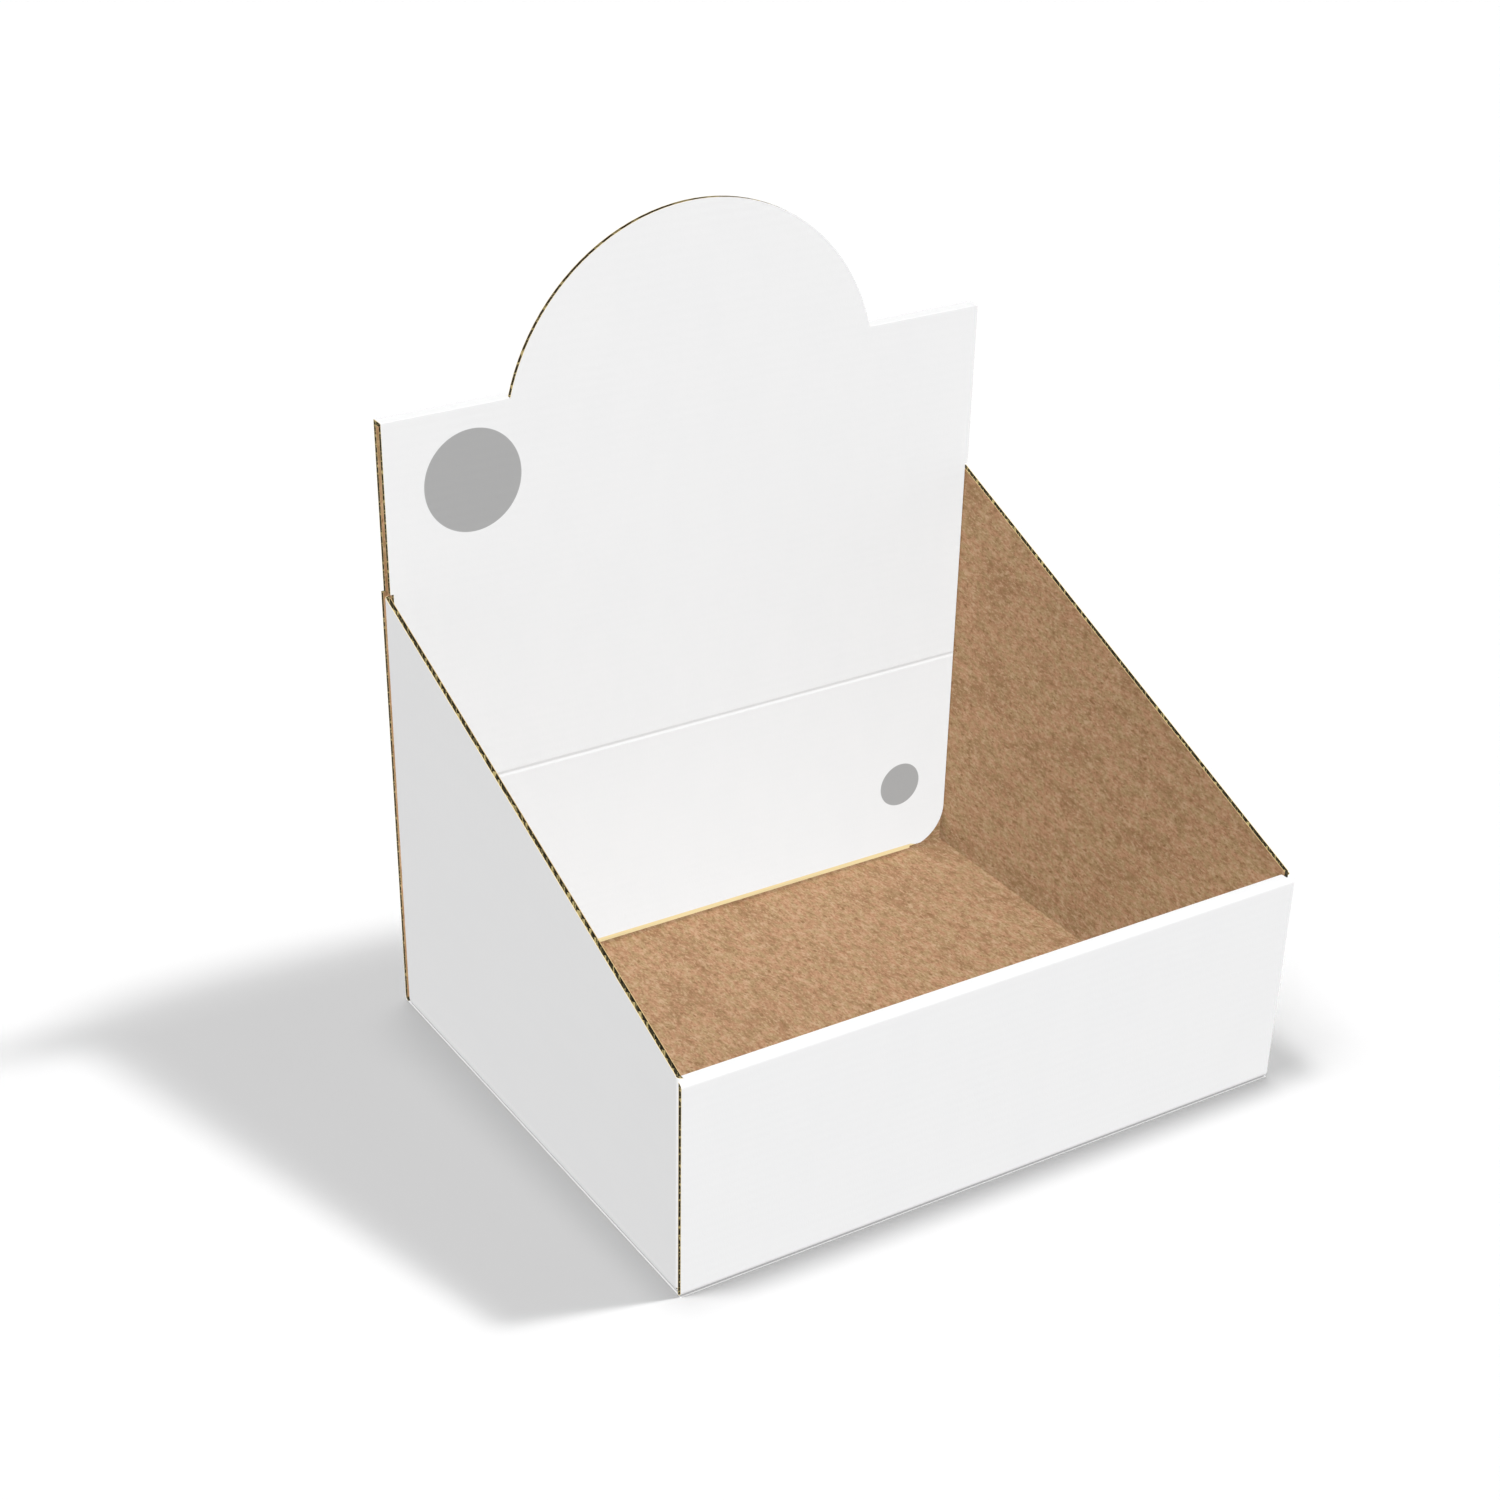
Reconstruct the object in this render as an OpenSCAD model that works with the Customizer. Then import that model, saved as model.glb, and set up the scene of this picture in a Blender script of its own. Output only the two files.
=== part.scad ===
// Counter display box, folded from one die-cut sheet of fine single-wall corrugated board.
// White outside, brown kraft inside. The lid is folded back on itself to make the header.
// Millimetres. X runs across the box, the front faces -Y, Z is up.
// The origin is the middle of the underside.
// Every panel is three real plies: an outer liner, a corrugated medium and an inner liner.

/* [Tray] */
// Clear width between the side walls
inner_w = 300; // [240:1:360]
// Outer depth, front face to rear face
box_d = 252; // [210:1:290]
// Height of the front wall
front_h = 102.5; // [85:0.5:105]
// Height of the side walls at the back
side_h = 206; // [190:1:215]

/* [Header] */
// Height of the two shoulders beside the riser
shoulder_h = 284.5; // [282:0.5:300]
// Height of the crease between the lid panel and the tuck flap
crease_h = 108.5; // [90:0.5:130]
// How far the header's lower crease lies above the top of the side walls
fold_rise = 1.8; // [1.5:0.1:4]
// How far each end of the header stays in from the back wall's ends
header_inset = 1.2; // [0.5:0.1:2]
// Radius of the round riser
riser_r = 94; // [80:1:110]
// Board left between the riser's notch and the header's lower crease
notch_band = 12.6; // [8:0.1:30]
// Radius of the tuck flap's two lower corners
flap_corner_r = 20; // [8:1:35]
// Gap under the tuck flap, above the floor
flap_lift = 1.3; // [0.8:0.1:3]

/* [Corner flaps] */
// Length of the four corner flaps
flap_len = 62; // [40:1:75]
// Slant of a corner flap's ends
flap_taper = 6; // [2:1:12]
// Width of a locking tab
tab_w = 40; // [20:1:60]
// Distance from the centre to the middle of each locking tab
tab_x = 80; // [50:1:100]

/* [Board] */
// Thickness of the board
board_t = 2.2; // [2:0.1:2.6]
// Thickness of each liner
liner_t = 0.25; // [0.2:0.05:0.35]
// Thickness of the corrugated medium's paper
medium_t = 0.2; // [0.15:0.05:0.3]
// Distance from one flute to the next
flute_pitch = 4.4; // [3.8:0.1:6]
// Width of the flat glue line on each flute
glue_line = 0.9; // [0.5:0.1:1.2]

/* [Fits] */
// Slack of the folded layers in the front rim and in the header fold
fold_slack = 0.3; // [0.3:0.05:0.6]
// Gap at each side of a moving crease
crease_gap = 0.15; // [0.1:0.05:0.3]
// Gap between the lid panel and each side wall
lid_side_gap = 0.5; // [0.4:0.1:1]
// Gap left by the cutting rule round the riser
kerf = 0.5; // [0.4:0.1:1]
// Bare medium below the outer liner at the tuck flap's tip
bare_edge = 1.2; // [0.8:0.1:2]

/* [Hidden] */
$fn = 128;
WHITE = [0.94, 0.94, 0.94];
KRAFT = [0.74, 0.58, 0.43];
FLUTE = [0.93, 0.83, 0.62];
half_w = inner_w / 2 + board_t;
half_d = box_d / 2;
medium_h = board_t - 2 * liner_t;
// Between the two creases of a folded-over strip lie one board and the slack
strip_w = board_t + fold_slack;
// Outer width of a folded edge: the strip and one board on each side
fold_w = strip_w + 2 * board_t;
fold_z = side_h + fold_rise;
front_in_y = -half_d + board_t;
back_in_y = half_d - board_t;
// Kraft faces of the front inner wall and of the lid panel
inner_wall_y = front_in_y + strip_w;
lid_y = back_in_y - strip_w;
rim_half = half_w - board_t - fold_slack;
// The header is one width from its lower crease to the top. Below that height the lid
// stands between the side walls and is narrower.
header_half = half_w - header_inset;
lid_half = half_w - board_t - lid_side_gap;
flap_bottom = board_t + fold_slack;
tip_z = board_t + flap_lift;
// The sloped top edge of a side wall
slope_front_y = -half_d + 0.5;
slope_rear_z = side_h - 0.3;
slope_k = (slope_rear_z - front_h) / (back_in_y - board_t - slope_front_y);
function slope_z(y) = front_h + slope_k * (y - slope_front_y);
// The riser is a part of a circle whose centre lies below the shoulders.
// Its height is what its notch leaves of the header back.
riser_rise = shoulder_h + fold_w - kerf - fold_z - notch_band;
riser_drop = riser_r - riser_rise;
riser_half = sqrt(riser_r * riser_r - riser_drop * riser_drop);
strip_gap = 0.5;
tab_slack = 0.25;
tab_tip = 0.2;

PANELS = ["base", "front_wall", "rim_strip", "front_inner_wall", "left_wall", "right_wall",
    "left_front_flap", "right_front_flap", "left_rear_flap", "right_rear_flap", "back_wall",
    "header_back", "left_shoulder_strip", "right_shoulder_strip", "lid_panel", "tuck_flap"];

// Plies of a board. A panel is drawn flat, its kraft face at height 0 and its white face on top.
module outer_ply() {
    translate([0, 0, board_t - liner_t]) linear_extrude(liner_t) children();
}

module inner_ply() {
    linear_extrude(liner_t) children();
}

// Section of the corrugated medium over a span, as one closed outline
flute_run = flute_pitch / 2 - glue_line;
flute_angle = atan((medium_h - medium_t) / flute_run);
flute_shift = medium_t * tan(flute_angle / 2);
crest = glue_line / 2;
hollow = crest - flute_shift;

module flute_section(span) {
    n = ceil(span / flute_pitch / 2) + 1;
    upper = [for (i = [-n : n]) for (q = [
        [-flute_pitch / 2 + hollow, medium_t], [-crest, medium_h],
        [crest, medium_h], [flute_pitch / 2 - hollow, medium_t]])
        [i * flute_pitch + q[0], q[1]]];
    lower = [for (i = [n : -1 : -n]) for (q = [
        [flute_pitch / 2 - crest, 0], [hollow, medium_h - medium_t],
        [-hollow, medium_h - medium_t], [-flute_pitch / 2 + crest, 0]])
        [i * flute_pitch + q[0], q[1]]];
    polygon(concat(upper, lower));
}

// Fluting of a flat panel whose flutes run along X. Its outline is the child.
module fluting_x(half_x, y0, y1) {
    intersection() {
        linear_extrude(board_t) children();
        translate([-half_x - 1, (y0 + y1) / 2, liner_t])
            rotate([90, 0, 90]) linear_extrude(2 * half_x + 2) flute_section(y1 - y0);
    }
}

// Fluting of a flat panel whose flutes run along Y
module fluting_y(x0, x1, y0, y1) {
    intersection() {
        linear_extrude(board_t) children();
        translate([(x0 + x1) / 2, y1 + 1, liner_t])
            rotate([90, 0, 0]) linear_extrude(y1 - y0 + 2) flute_section(x1 - x0);
    }
}

// Section of the skin round a folded crease: a quarter ring and a lip into the flat liner
crease_skin_r = board_t - liner_t;
crease_lip = 0.3;

module skin_section() {
    intersection() {
        difference() {
            circle(board_t);
            circle(crease_skin_r);
        }
        square(board_t + 1);
    }
    translate([-crease_lip, crease_skin_r]) square([crease_lip + 0.01, liner_t]);
}

// The crushed core below the skin, a quarter round
module core_section() {
    intersection() {
        circle(crease_skin_r);
        square(board_t);
    }
}

// A section set along a crease, from x0 to x1 on the line y. dir tells to which side it folds.
module crease_x(x0, x1, y, dir) {
    translate([x0, y, 0]) mirror([0, dir < 0 ? 1 : 0, 0]) rotate([90, 0, 90])
        linear_extrude(x1 - x0) children();
}

// The same along Y, from y0 to y1 on the line x
module crease_y(y0, y1, x, dir) {
    translate([x, y1, 0]) mirror([dir < 0 ? 1 : 0, 0, 0]) rotate([90, 0, 0])
        linear_extrude(y1 - y0) children();
}

module skin_x(x0, x1, y, dir) crease_x(x0, x1, y, dir) skin_section();
module skin_y(y0, y1, x, dir) crease_y(y0, y1, x, dir) skin_section();
module core_x(x0, x1, y, dir) crease_x(x0, x1, y, dir) core_section();
module core_y(y0, y1, x, dir) crease_y(y0, y1, x, dir) core_section();

// Where the flat panels stand. Each module takes a panel drawn flat.
module on_floor() {
    translate([0, 0, board_t]) rotate([180, 0, 0]) children();
}

module facing_front(y) {
    translate([0, y, 0]) rotate([90, 0, 0]) children();
}

module facing_back(y) {
    translate([0, y, 0]) rotate([90, 0, 180]) children();
}

module facing_right() {
    translate([half_w - board_t, 0, 0]) rotate([90, 0, 90]) children();
}

module facing_up(z) {
    translate([0, 0, z]) children();
}

module mirrored_x() {
    mirror([1, 0, 0]) children();
}

// Base panel, with two slots for the front locking tabs
slot_y0 = inner_wall_y - tab_slack;
slot_y1 = inner_wall_y + board_t + tab_slack;

module base_outline() {
    difference() {
        translate([-half_w + board_t, -half_d + board_t])
            square([2 * (half_w - board_t), 2 * (half_d - board_t)]);
        for (s = [-1, 1])
            translate([s * tab_x - tab_w / 2 - tab_slack, -slot_y1])
                square([tab_w + 2 * tab_slack, slot_y1 - slot_y0]);
    }
}

module base_outer_liner() {
    color(WHITE) on_floor() outer_ply() base_outline();
}

module base_fluting() {
    color(FLUTE) on_floor() fluting_x(half_w, -half_d, half_d) base_outline();
}

module base_inner_liner() {
    color(KRAFT) on_floor() inner_ply() base_outline();
}

// Front wall, across the full width, with its crease to the base
module front_outline() {
    translate([-half_w, board_t]) square([2 * half_w, front_h - 2 * board_t]);
}

module front_wall_outer_liner() {
    color(WHITE) facing_front(front_in_y) {
        outer_ply() front_outline();
        skin_x(-half_w, half_w, board_t, -1);
    }
}

module front_wall_fluting() {
    color(FLUTE) facing_front(front_in_y) {
        fluting_x(half_w, board_t, front_h - board_t) front_outline();
        core_x(-half_w, half_w, board_t, -1);
    }
}

module front_wall_inner_liner() {
    color(KRAFT) facing_front(front_in_y) inner_ply() front_outline();
}

// Rim strip: the narrow top of the rolled-over front, with a crease at each side.
// The front crease is as wide as the front wall; the rest fits between the side walls.
module rim_outline() {
    translate([-rim_half, front_in_y]) square([2 * rim_half, strip_w]);
}

module rim_strip_outer_liner() {
    color(WHITE) facing_up(front_h - board_t) {
        outer_ply() rim_outline();
        skin_x(-half_w, half_w, front_in_y, -1);
        skin_x(-rim_half, rim_half, inner_wall_y, 1);
    }
}

module rim_strip_fluting() {
    color(FLUTE) facing_up(front_h - board_t) {
        translate([0, 0, liner_t]) linear_extrude(medium_h) rim_outline();
        core_x(-half_w, half_w, front_in_y, -1);
        core_x(-rim_half, rim_half, inner_wall_y, 1);
    }
}

module rim_strip_inner_liner() {
    color(KRAFT) facing_up(front_h - board_t) inner_ply() rim_outline();
}

// Front inner wall, white side to the goods, with two tabs that lock into the base
module front_inner_outline() {
    translate([-rim_half, flap_bottom])
        square([2 * rim_half, front_h - board_t - flap_bottom]);
    for (s = [-1, 1])
        translate([s * tab_x - tab_w / 2, tab_tip]) square([tab_w, flap_bottom]);
}

module front_inner_wall_outer_liner() {
    color(WHITE) facing_back(inner_wall_y) outer_ply() front_inner_outline();
}

module front_inner_wall_fluting() {
    color(FLUTE) facing_back(inner_wall_y)
        fluting_x(half_w, 0, front_h - board_t) front_inner_outline();
}

module front_inner_wall_inner_liner() {
    color(KRAFT) facing_back(inner_wall_y) inner_ply() front_inner_outline();
}

// Side wall with a sloped top. It has creases to the base and to both corner flaps.
side_y0 = front_in_y + board_t;
side_y1 = back_in_y - board_t;
front_crease_top = slope_z(front_in_y + board_t / 2);
rear_crease_top = slope_rear_z;

module side_outline() {
    polygon([[side_y0, board_t], [side_y1, board_t],
        [side_y1, slope_z(side_y1)], [side_y0, slope_z(side_y0)]]);
}

module side_outer_liner() {
    color(WHITE) facing_right() {
        outer_ply() side_outline();
        skin_x(side_y0, side_y1, board_t, -1);
        skin_y(board_t, front_crease_top, side_y0, -1);
        skin_y(board_t, rear_crease_top, side_y1, 1);
    }
}

// The crushed core of the bottom crease stops short of both corners
corner_relief = 0.4;

module side_fluting() {
    color(FLUTE) facing_right() {
        fluting_y(side_y0, side_y1, 0, side_h) side_outline();
        core_x(side_y0 + corner_relief, side_y1 - corner_relief, board_t, -1);
        core_y(board_t, front_crease_top, side_y0, -1);
        core_y(board_t, rear_crease_top, side_y1, 1);
    }
}

module side_inner_liner() {
    color(KRAFT) facing_right() inner_ply() side_outline();
}

module right_wall_outer_liner() side_outer_liner();
module right_wall_fluting() side_fluting();
module right_wall_inner_liner() side_inner_liner();
module left_wall_outer_liner() mirrored_x() side_outer_liner();
module left_wall_fluting() mirrored_x() side_fluting();
module left_wall_inner_liner() mirrored_x() side_inner_liner();

// Corner flap outline, from its crease at x = root towards the middle of the box
flap_root = half_w - board_t;

module flap_outline(top) {
    polygon([[flap_root, flap_bottom], [flap_root, top],
        [flap_root - flap_len, top - flap_taper],
        [flap_root - flap_len, flap_bottom + flap_taper]]);
}

front_flap_top = front_h - board_t - fold_slack;
rear_flap_top = side_h - 8;

module front_flap_ply(ply) {
    facing_front(front_in_y + board_t) {
        if (ply == "outer") outer_ply() flap_outline(front_flap_top);
        if (ply == "inner") inner_ply() flap_outline(front_flap_top);
        if (ply == "fluting")
            fluting_y(flap_root - flap_len, flap_root, 0, front_h) flap_outline(front_flap_top);
    }
}

module right_front_flap_outer_liner() color(WHITE) front_flap_ply("outer");
module right_front_flap_fluting() color(FLUTE) front_flap_ply("fluting");
module right_front_flap_inner_liner() color(KRAFT) front_flap_ply("inner");
module left_front_flap_outer_liner() color(WHITE) mirrored_x() front_flap_ply("outer");
module left_front_flap_fluting() color(FLUTE) mirrored_x() front_flap_ply("fluting");
module left_front_flap_inner_liner() color(KRAFT) mirrored_x() front_flap_ply("inner");

module rear_flap_ply(ply) {
    facing_back(back_in_y - board_t) {
        if (ply == "outer") outer_ply() flap_outline(rear_flap_top);
        if (ply == "inner") inner_ply() flap_outline(rear_flap_top);
        if (ply == "fluting")
            fluting_y(flap_root - flap_len, flap_root, 0, side_h) flap_outline(rear_flap_top);
    }
}

// Seen from behind, X runs the other way, so this outline stands at the left of the box
module left_rear_flap_outer_liner() color(WHITE) rear_flap_ply("outer");
module left_rear_flap_fluting() color(FLUTE) rear_flap_ply("fluting");
module left_rear_flap_inner_liner() color(KRAFT) rear_flap_ply("inner");
module right_rear_flap_outer_liner() color(WHITE) mirrored_x() rear_flap_ply("outer");
module right_rear_flap_fluting() color(FLUTE) mirrored_x() rear_flap_ply("fluting");
module right_rear_flap_inner_liner() color(KRAFT) mirrored_x() rear_flap_ply("inner");

// Back wall, across the full width, up to the crease of the header
module back_outline() {
    translate([-half_w, board_t])
        square([2 * half_w, fold_z - crease_gap - board_t]);
}

module back_wall_outer_liner() {
    color(WHITE) facing_back(back_in_y) {
        outer_ply() back_outline();
        skin_x(-half_w, half_w, board_t, -1);
    }
}

module back_wall_fluting() {
    color(FLUTE) facing_back(back_in_y) {
        fluting_x(half_w, board_t, fold_z) back_outline();
        core_x(-half_w, half_w, board_t, -1);
    }
}

module back_wall_inner_liner() {
    color(KRAFT) facing_back(back_in_y) inner_ply() back_outline();
}

// A crushed fold that turns on the white face is cut at 45 degrees below it.
// This is how far the board stays back from the crease line, at height w in the board.
mitre_gap = crease_gap * sqrt(2);
function mitre(w) = board_t - w + mitre_gap;

// Everything above the mitre under the line y, between x0 and x1
module above_mitre(x0, x1, y) {
    translate([x0, 0, 0]) rotate([90, 0, 90]) linear_extrude(x1 - x0)
        polygon([[y - mitre(-1), -1], [y - mitre(board_t + 1), board_t + 1],
            [y + 2 * riser_r, board_t + 1], [y + 2 * riser_r, -1]]);
}

// Header back panel. The riser is cut out of it, so a round notch is left in its top.
notch_y = shoulder_h + fold_w + riser_drop;

module header_back_outline() {
    difference() {
        translate([-header_half, fold_z + crease_gap])
            square([2 * header_half, shoulder_h - fold_z - crease_gap]);
        translate([0, notch_y]) circle(riser_r + kerf);
    }
}

module header_back_outer_liner() {
    color(WHITE) facing_back(back_in_y) difference() {
        outer_ply() header_back_outline();
        above_mitre(-half_w - 1, half_w + 1, shoulder_h);
    }
}

module header_back_fluting() {
    color(FLUTE) facing_back(back_in_y) difference() {
        fluting_x(half_w, fold_z, shoulder_h) header_back_outline();
        above_mitre(-half_w - 1, half_w + 1, shoulder_h);
    }
}

module header_back_inner_liner() {
    color(KRAFT) facing_back(back_in_y) difference() {
        inner_ply() header_back_outline();
        above_mitre(-half_w - 1, half_w + 1, shoulder_h);
    }
}

// Shoulder strips: the narrow top of the folded header, left and right of the riser.
// Each ply is mitred at both long edges.
shoulder_x0 = riser_half + strip_gap;

module shoulder_ply(w0, w1) {
    y0 = half_d - fold_w;
    facing_up(shoulder_h - board_t) translate([shoulder_x0, 0, 0]) rotate([90, 0, 90])
        linear_extrude(header_half - shoulder_x0)
            polygon([[y0 + mitre(w0), w0], [half_d - mitre(w0), w0],
                [half_d - mitre(w1), w1], [y0 + mitre(w1), w1]]);
}

module right_shoulder_strip_outer_liner() color(WHITE) shoulder_ply(board_t - liner_t, board_t);
module right_shoulder_strip_fluting() color(FLUTE) shoulder_ply(liner_t, board_t - liner_t);
module right_shoulder_strip_inner_liner() color(KRAFT) shoulder_ply(0, liner_t);
module left_shoulder_strip_outer_liner() {
    color(WHITE) mirrored_x() shoulder_ply(board_t - liner_t, board_t);
}
module left_shoulder_strip_fluting() {
    color(FLUTE) mirrored_x() shoulder_ply(liner_t, board_t - liner_t);
}
module left_shoulder_strip_inner_liner() color(KRAFT) mirrored_x() shoulder_ply(0, liner_t);

// Lid panel, folded down in front of the header back. The round riser is part of its sheet.
riser_top = shoulder_h + riser_rise;

module lid_outline() {
    translate([-lid_half, crease_h + crease_gap])
        square([2 * lid_half, shoulder_h - crease_h - crease_gap]);
    translate([-header_half, fold_z + crease_gap])
        square([2 * header_half, shoulder_h - fold_z - crease_gap]);
    intersection() {
        translate([0, shoulder_h - riser_drop]) circle(riser_r);
        translate([-riser_half, shoulder_h - 1]) square([2 * riser_half, riser_rise + 2]);
    }
}

module lid_mitres() {
    above_mitre(riser_half, half_w, shoulder_h);
    above_mitre(-half_w, -riser_half, shoulder_h);
}

module lid_panel_outer_liner() {
    color(WHITE) facing_front(lid_y) difference() {
        outer_ply() lid_outline();
        lid_mitres();
    }
}

module lid_panel_fluting() {
    color(FLUTE) facing_front(lid_y) difference() {
        fluting_x(half_w, crease_h, riser_top) lid_outline();
        lid_mitres();
    }
}

module lid_panel_inner_liner() {
    color(KRAFT) facing_front(lid_y) difference() {
        inner_ply() lid_outline();
        lid_mitres();
    }
}

// Tuck flap, below the lid panel, with two rounded corners
module tuck_outline() {
    translate([-lid_half, tip_z + flap_corner_r])
        square([2 * lid_half, crease_h - crease_gap - tip_z - flap_corner_r]);
    translate([-lid_half + flap_corner_r, tip_z])
        square([2 * (lid_half - flap_corner_r), flap_corner_r + 1]);
    for (s = [-1, 1])
        translate([s * (lid_half - flap_corner_r), tip_z + flap_corner_r])
            circle(flap_corner_r);
}

module tuck_flap_outer_liner() {
    color(WHITE) facing_front(lid_y) outer_ply() intersection() {
        tuck_outline();
        translate([-lid_half, tip_z + bare_edge]) square([2 * lid_half, crease_h]);
    }
}

module tuck_flap_fluting() {
    color(FLUTE) facing_front(lid_y) fluting_x(half_w, tip_z, crease_h) tuck_outline();
}

module tuck_flap_inner_liner() {
    color(KRAFT) facing_front(lid_y) inner_ply() tuck_outline();
}

base_outer_liner();
base_fluting();
base_inner_liner();
front_wall_outer_liner();
front_wall_fluting();
front_wall_inner_liner();
rim_strip_outer_liner();
rim_strip_fluting();
rim_strip_inner_liner();
front_inner_wall_outer_liner();
front_inner_wall_fluting();
front_inner_wall_inner_liner();
left_wall_outer_liner();
left_wall_fluting();
left_wall_inner_liner();
right_wall_outer_liner();
right_wall_fluting();
right_wall_inner_liner();
left_front_flap_outer_liner();
left_front_flap_fluting();
left_front_flap_inner_liner();
right_front_flap_outer_liner();
right_front_flap_fluting();
right_front_flap_inner_liner();
left_rear_flap_outer_liner();
left_rear_flap_fluting();
left_rear_flap_inner_liner();
right_rear_flap_outer_liner();
right_rear_flap_fluting();
right_rear_flap_inner_liner();
back_wall_outer_liner();
back_wall_fluting();
back_wall_inner_liner();
header_back_outer_liner();
header_back_fluting();
header_back_inner_liner();
left_shoulder_strip_outer_liner();
left_shoulder_strip_fluting();
left_shoulder_strip_inner_liner();
right_shoulder_strip_outer_liner();
right_shoulder_strip_fluting();
right_shoulder_strip_inner_liner();
lid_panel_outer_liner();
lid_panel_fluting();
lid_panel_inner_liner();
tuck_flap_outer_liner();
tuck_flap_fluting();
tuck_flap_inner_liner();
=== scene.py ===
import math

import bmesh
import bpy
from mathutils import Matrix, Vector


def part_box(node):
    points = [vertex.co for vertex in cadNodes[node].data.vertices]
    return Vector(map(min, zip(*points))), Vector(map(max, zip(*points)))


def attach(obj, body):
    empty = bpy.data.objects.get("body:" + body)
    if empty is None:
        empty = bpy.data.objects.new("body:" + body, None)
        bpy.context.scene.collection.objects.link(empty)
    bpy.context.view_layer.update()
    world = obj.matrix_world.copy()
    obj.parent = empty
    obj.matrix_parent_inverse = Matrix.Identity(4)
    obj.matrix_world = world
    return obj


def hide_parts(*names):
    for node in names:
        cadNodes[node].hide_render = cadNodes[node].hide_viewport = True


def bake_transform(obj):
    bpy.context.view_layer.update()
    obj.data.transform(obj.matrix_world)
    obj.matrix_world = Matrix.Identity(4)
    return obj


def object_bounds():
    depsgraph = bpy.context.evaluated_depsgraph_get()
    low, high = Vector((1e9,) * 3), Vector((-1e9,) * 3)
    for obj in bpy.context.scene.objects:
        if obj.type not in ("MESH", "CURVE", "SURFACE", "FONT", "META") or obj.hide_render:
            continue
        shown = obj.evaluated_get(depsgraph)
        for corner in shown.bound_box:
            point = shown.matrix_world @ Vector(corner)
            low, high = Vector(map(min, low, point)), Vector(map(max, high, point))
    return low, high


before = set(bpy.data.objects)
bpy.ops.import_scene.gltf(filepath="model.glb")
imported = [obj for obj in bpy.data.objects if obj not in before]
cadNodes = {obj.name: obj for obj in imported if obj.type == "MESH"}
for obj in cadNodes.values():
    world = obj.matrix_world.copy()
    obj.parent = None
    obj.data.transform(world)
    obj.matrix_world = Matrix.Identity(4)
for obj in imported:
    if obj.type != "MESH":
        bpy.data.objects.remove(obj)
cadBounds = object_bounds()
scene = bpy.context.scene
scene.view_settings.view_transform = "Standard"
tiny = 1e-6   # a micrometre, less than any real gap in the board
print("frame loaded:", len(cadNodes), "plies")

# The board as it is made, in metres
board = {
    "thickness": 0.0022,
    "liner": 0.00025,
    "mediumPaper": 0.0002,
    "pitch": 0.0044,
    "stationsPerFlute": 12,
    "coreSteps": 8,     # round a pressed crease
    "bendSteps": 16,    # along a crease that bends
}

# How each panel lies: the axis through the board, the side of the white face,
# the axis of the flutes, and which of the ply's faces are raw cuts
panelTable = {
    "base": {"thin": 2, "white": -1, "flutes": 0, "cut": "none"},
    "front_wall": {"thin": 1, "white": -1, "flutes": 0, "cut": "ends"},
    "rim_strip": {"thin": 2, "white": 1, "flutes": 0, "cut": "ends"},
    "front_inner_wall": {"thin": 1, "white": 1, "flutes": 0, "cut": "rim"},
    "left_wall": {"thin": 0, "white": -1, "flutes": 2, "cut": "top"},
    "right_wall": {"thin": 0, "white": 1, "flutes": 2, "cut": "top"},
    "left_front_flap": {"thin": 1, "white": -1, "flutes": 2, "cut": "rim"},
    "right_front_flap": {"thin": 1, "white": -1, "flutes": 2, "cut": "rim"},
    "left_rear_flap": {"thin": 1, "white": 1, "flutes": 2, "cut": "rim"},
    "right_rear_flap": {"thin": 1, "white": 1, "flutes": 2, "cut": "rim"},
    "back_wall": {"thin": 1, "white": 1, "flutes": 0, "cut": "ends"},
    "header_back": {"thin": 1, "white": 1, "flutes": 0, "cut": "rim"},
    "left_shoulder_strip": {"thin": 2, "white": 1, "flutes": 0, "cut": "ends"},
    "right_shoulder_strip": {"thin": 2, "white": 1, "flutes": 0, "cut": "ends"},
    "lid_panel": {"thin": 1, "white": -1, "flutes": 0, "cut": "rim"},
    "tuck_flap": {"thin": 1, "white": -1, "flutes": 0, "cut": "rim"},
}


def travelAxis(panel):   # the axis that the wave runs along, which is also the paper's grain
    row = panelTable[panel]
    return 3 - row["thin"] - row["flutes"]


def newObject(name, data):
    made = bpy.data.objects.new(name, data)
    scene.collection.objects.link(made)
    return made


def turnFacesOut(mesh, weld=None):   # welds what lies closer than weld first
    work = bmesh.new()
    work.from_mesh(mesh)
    if weld:
        bmesh.ops.remove_doubles(work, verts=work.verts, dist=weld)
    bmesh.ops.recalc_face_normals(work, faces=work.faces)
    work.to_mesh(mesh)
    work.free()


# Camera, at the photograph's place
cameraSetup = {
    "place": (-0.56471, -0.81689, 0.66475),
    "azimuth": -30.0974,
    "elevation": 31.3198,
    "roll": -0.1403,
    "lens": 62.44,
    "sensor": 36,
    "nearest": 0.01,
    "shiftX": 0.0644,
    "shiftY": 0.1137,
}


def makeCamera():
    azimuth, elevation, roll = (math.radians(cameraSetup[k]) for k in ("azimuth", "elevation", "roll"))
    back = Vector((math.sin(azimuth) * math.cos(elevation),
                   -math.cos(azimuth) * math.cos(elevation), math.sin(elevation)))
    right = Vector((0, 0, 1)).cross(back).normalized()
    up = back.cross(right)
    rolledRight = right * math.cos(roll) + up * math.sin(roll)
    rolledUp = up * math.cos(roll) - right * math.sin(roll)
    camera = newObject("camera", bpy.data.cameras.new("camera"))
    turn = Matrix((rolledRight, rolledUp, back)).transposed()
    camera.matrix_world = Matrix.Translation(cameraSetup["place"]) @ turn.to_4x4()
    camera.data.sensor_width = cameraSetup["sensor"]
    camera.data.lens = cameraSetup["lens"]
    camera.data.shift_x = cameraSetup["shiftX"]
    camera.data.shift_y = cameraSetup["shiftY"]
    camera.data.clip_start = cameraSetup["nearest"]
    scene.camera = camera


makeCamera()

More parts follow.
